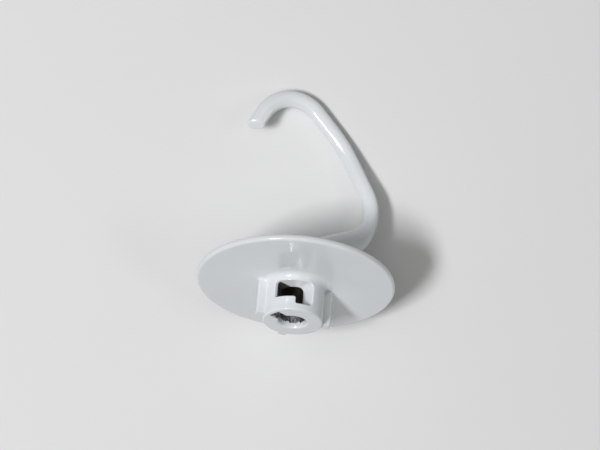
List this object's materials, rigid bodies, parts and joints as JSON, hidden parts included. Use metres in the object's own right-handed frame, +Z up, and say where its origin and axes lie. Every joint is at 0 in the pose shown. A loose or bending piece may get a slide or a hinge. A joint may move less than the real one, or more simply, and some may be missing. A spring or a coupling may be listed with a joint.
{
  "type": "stand mixer dough hook",
  "caption": "C-shaped dough hook cast in one piece with a splash disc and a ribbed bayonet hub that locks onto a stand mixer's drive shaft.",
  "frame": {"origin": "on the floor, under the middle of the bounding box, with the hook lying as it comes to rest on the disc's rim and the hook's bend", "axes": "+Z up, +Y along the part from the hub's mouth to the hook's bend, +X towards the side of the hook's arm"},
  "size_m": [0.095, 0.1202, 0.0841],
  "materials": {
    "white_coat": "gloss white coat; the bore is bare metal"
  },
  "bodies": {
    "root": {"dough_hook": "white_coat"}
  },
  "joints": []
}
